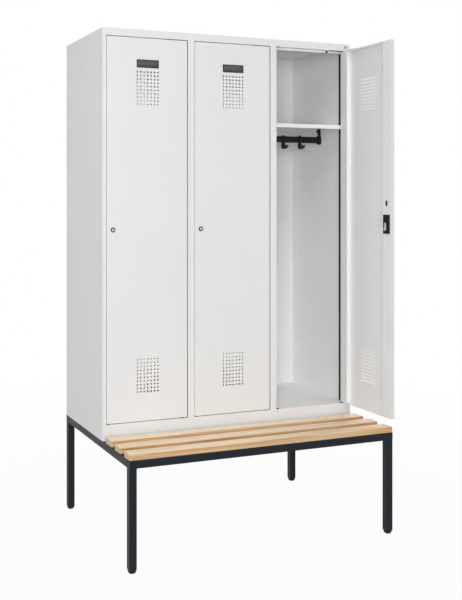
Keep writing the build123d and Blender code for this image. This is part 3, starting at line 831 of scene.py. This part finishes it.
# %% [markdown]
# ## Feet
#
# Each leg stands on one moulded foot: a thin square collar flush with the tube, a plug that is
# pushed up into the leg, and a dome below, so that the frame can be slid without a scratch. The
# dome starts as a square whose corners are bevelled until it is nearly a circle. It is pulled
# down, and its lower rim is bevelled again, as far as it goes. The collar and the plug are one
# more square, pulled both ways. The finished foot is doubled to the right and then to the back.


# %% The dome
def lower_middle(low, high):
    """The middle of the lower side of a box."""
    return Vector(((low.x + high.x) / 2, (low.y + high.y) / 2, low.z))


low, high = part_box("leg_front_left")
tube = high.x - low.x
foot_place = lower_middle(low, high)
collar, dome_narrower, dome_corners, dome_rim = 1.0, 0.6, 10, 9
start_plane(tube - dome_narrower * mm, foot_place - Vector((0, 0, collar / 2 * mm)))
bpy.ops.mesh.bevel(offset=dome_corners * mm, segments=9, affect="VERTICES")
pull(0, 0, collar / 2 - foot_place.z / mm)
rim = pick("EDGE", lambda a, b: max(a.z, b.z) < hair)
bpy.ops.mesh.bevel(offset=dome_rim * mm, segments=8, affect="EDGES")
dome = finish_piece("foot_dome", foot_plastic, "foot_plastic")
print("dome rounded along", rim, "edges")

# %% The collar and the plug
collar_narrower, collar_corners, tube_wall, plug_height = 0.1, 1.5, 2.3, 20
start_plane(tube - collar_narrower * mm, foot_place)
bpy.ops.mesh.bevel(offset=collar_corners * mm, segments=4, affect="VERTICES")
pull(0, 0, -collar)
pick("FACE", lambda place, normal: place.z > foot_place.z - hair and abs(normal.z) > 0.9)
bpy.ops.mesh.inset(thickness=tube_wall * mm)
pull(0, 0, plug_height)
foot = one_skin(dome, finish_piece("foot_collar", foot_plastic, "foot_plastic"))
print("one foot has", len(foot.data.polygons), "faces")

# %% Four feet
low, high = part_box("leg_rear_right")
far_place = lower_middle(low, high)
to_right, to_back = far_place.x - foot_place.x, far_place.y - foot_place.y
start_fresh()
foot.select_set(True)
bpy.context.view_layer.objects.active = foot
bpy.ops.object.mode_set(mode="EDIT")
for step in ((to_right, 0, 0), (0, to_back, 0)):
    bpy.ops.mesh.select_all(action="SELECT")
    bpy.ops.mesh.duplicate_move(TRANSFORM_OT_translate={"value": step})
feet = finish_piece("moulded_feet", foot_plastic, "foot_plastic")
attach(feet, "locker")
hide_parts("feet")
print("feet stand", round(to_right, 3), "by", round(to_back, 3), "m apart")

# %% [markdown]
# ## Floor and light
#
# The floor is a pale sheet. To the camera and in the gloss it glows almost white, and a small
# share of its colour is still lit near the object, so that a soft shadow stays there. From below
# it can't be seen. To all other light it is a middle grey.
#
# The world is dim at the horizon and lighter overhead, which keeps the inside of the open
# compartment soft and a little dark, while the camera and the gloss see plain white. Four large
# square lamps shape the object: the first stands in front, the second high above it, a weak one
# lights the left side, and the last stands behind on the right. The last is kept out of the
# gloss, because the lacquered slats would mirror it as a white patch.

# %% The floor
floor_radius, floor_grey = 30, 0.34
least_glow, glow_from, glow_to = 0.965, 1.0, 3.5
bpy.ops.object.select_all(action="DESELECT")
bpy.ops.mesh.primitive_circle_add(
    vertices=96, radius=floor_radius, fill_type="NGON", location=(0, 0, 0)
)
floor = bpy.context.object
floor.name = "studio_floor"
floor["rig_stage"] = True

floor_paper, tree, paper_shader = new_material("floor_paper")
paper_shader.inputs["Base Color"].default_value = (floor_grey, floor_grey, floor_grey, 1)
paper_shader.inputs["Roughness"].default_value = 0.9
paper_shader.inputs["Specular IOR Level"].default_value = 0.1
glow = add_node(tree, "ShaderNodeEmission", Color=(1, 1, 1, 1), Strength=1.0)
rays = tree.nodes.new("ShaderNodeLightPath").outputs
seen = calculated(tree, "MAXIMUM", rays["Is Camera Ray"], rays["Is Glossy Ray"])
place = tree.nodes.new("ShaderNodeTexCoord")
away = tree.nodes.new("ShaderNodeVectorMath")
away.operation = "LENGTH"
tree.links.new(place.outputs["Object"], away.inputs[0])
fade = to_range(tree, away.outputs["Value"], least_glow, 1.0, glow_from, glow_to)
share = calculated(tree, "MULTIPLY", seen, fade)
paper = mixed_shaders(tree, share, paper_shader.outputs[0], glow.outputs[0])
below = tree.nodes.new("ShaderNodeNewGeometry").outputs["Backfacing"]
clear = tree.nodes.new("ShaderNodeBsdfTransparent").outputs[0]
one_sided = mixed_shaders(tree, below, paper, clear)
tree.links.new(one_sided, tree.nodes["Material Output"].inputs["Surface"])
floor.data.materials.append(floor_paper)
print("floor radius", floor_radius, "m")

# %% The world
world = bpy.data.worlds.new("white_room")
bpy.context.scene.world = world
world.use_nodes = True
sky = world.node_tree
room = sky.nodes["Background"]
room.inputs["Color"].default_value = (1, 1, 1, 1)
horizon_level, zenith_level = 0.08, 0.50
height = axes(sky, "Generated")["Z"]
level = to_range(sky, height, horizon_level, zenith_level, from_low=0.0, from_high=1.0)
sky.links.new(level, room.inputs["Strength"])
white = add_node(sky, "ShaderNodeBackground", Color=(1, 1, 1, 1), Strength=1.0)
rays = sky.nodes.new("ShaderNodeLightPath").outputs
seen = calculated(sky, "MAXIMUM", rays["Is Camera Ray"], rays["Is Transmission Ray"])
mirrored = calculated(sky, "MAXIMUM", seen, rays["Is Glossy Ray"])
either = mixed_shaders(sky, mirrored, room.outputs[0], white.outputs[0])
sky.links.new(either, sky.nodes["World Output"].inputs["Surface"])
print("room levels", horizon_level, zenith_level)


# %% The lamps
def soft_lamp(name, place, aim, size, power, in_gloss=True):
    """A large square lamp that looks at a point, and may be kept out of the gloss."""
    data = bpy.data.lights.new(name, "AREA")
    data.shape = "SQUARE"
    data.size = size
    data.energy = power
    lamp = bpy.data.objects.new(name, data)
    lamp.location = place
    lamp.visible_glossy = in_gloss
    lamp.rotation_euler = (Vector(aim) - Vector(place)).to_track_quat("-Z", "Y").to_euler()
    bpy.context.scene.collection.objects.link(lamp)
    return lamp


lamps = [
    soft_lamp("front_lamp", (-2.7, -5.1, 1.7), aim=(0, 0, 1.2), size=2.0, power=157),
    soft_lamp("high_lamp", (-2.2, -5.4, 8.5), aim=(0, -0.2, 1.0), size=4.0, power=208),
    soft_lamp("side_lamp", (-4.5, 0.9, 2.0), aim=(-0.6, 0.2, 1.4), size=2.0, power=28),
    soft_lamp(
        "back_lamp", (3.6, 3.6, 2.2), aim=(0.2, 0.2, 1.2), size=3.0, power=135, in_gloss=False
    ),
]
bpy.context.scene.view_settings.view_transform = "Standard"
print("lamps:", {lamp.name: lamp.data.energy for lamp in lamps}, "watts")

# %% Sizes
low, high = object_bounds()
print("visual box from", tuple(low), "to", tuple(high))
